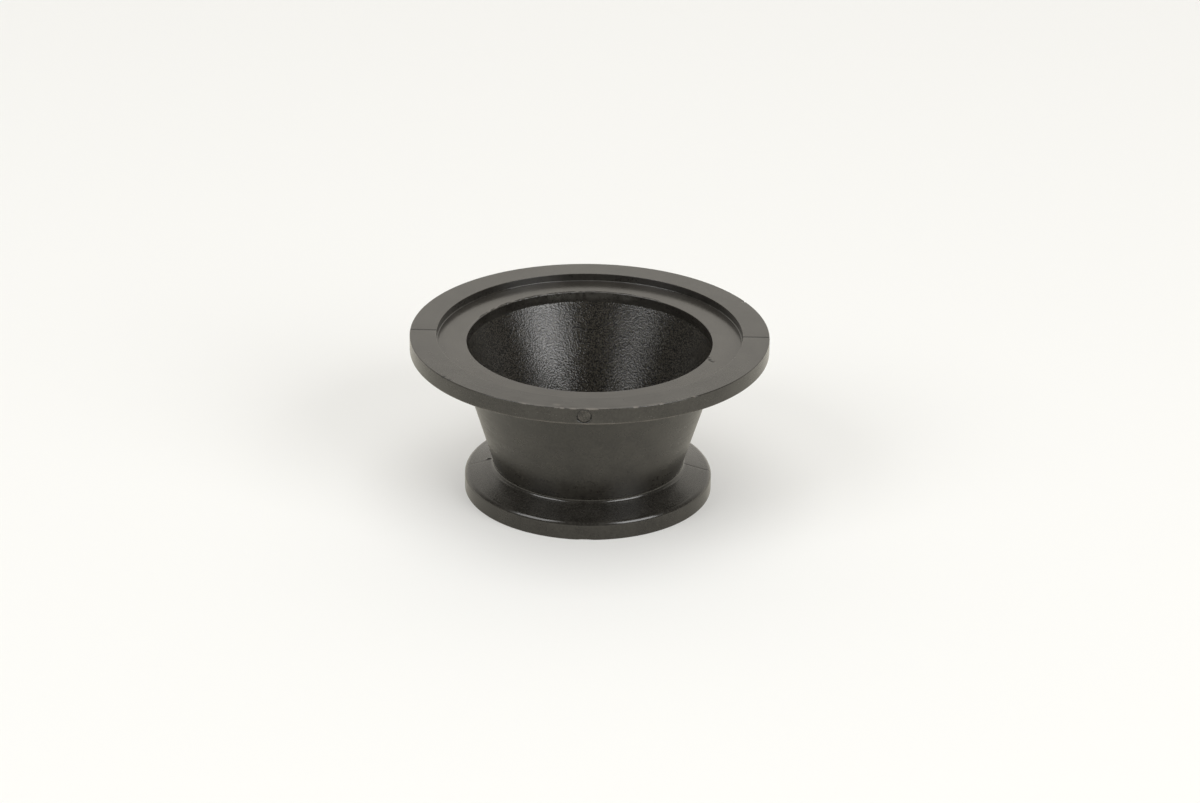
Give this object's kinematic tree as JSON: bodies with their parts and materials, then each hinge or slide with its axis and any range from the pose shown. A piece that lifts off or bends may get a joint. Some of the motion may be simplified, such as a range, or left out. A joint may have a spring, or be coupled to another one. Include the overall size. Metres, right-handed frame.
{
  "type": "reducer flange",
  "caption": "Moulded black plastic pipe reducer: a wide clamp flange and a small clamp flange joined by a conical neck, open right through, with gasket seats.",
  "frame": {"origin": "centre of the small end's face, where it stands", "axes": "+Z along the pipe axis from the small end to the large end, -Y towards the gate mark on the large rim, X along the mould's parting plane"},
  "size_m": [0.1112, 0.1113, 0.0521],
  "materials": {
    "black_polypropylene": "injection-moulded glass-filled polypropylene, black right through, satin on the faces and rims, spark-eroded grain inside the cone"
  },
  "bodies": {
    "root": {"reducer_flange": "black_polypropylene"}
  },
  "joints": []
}
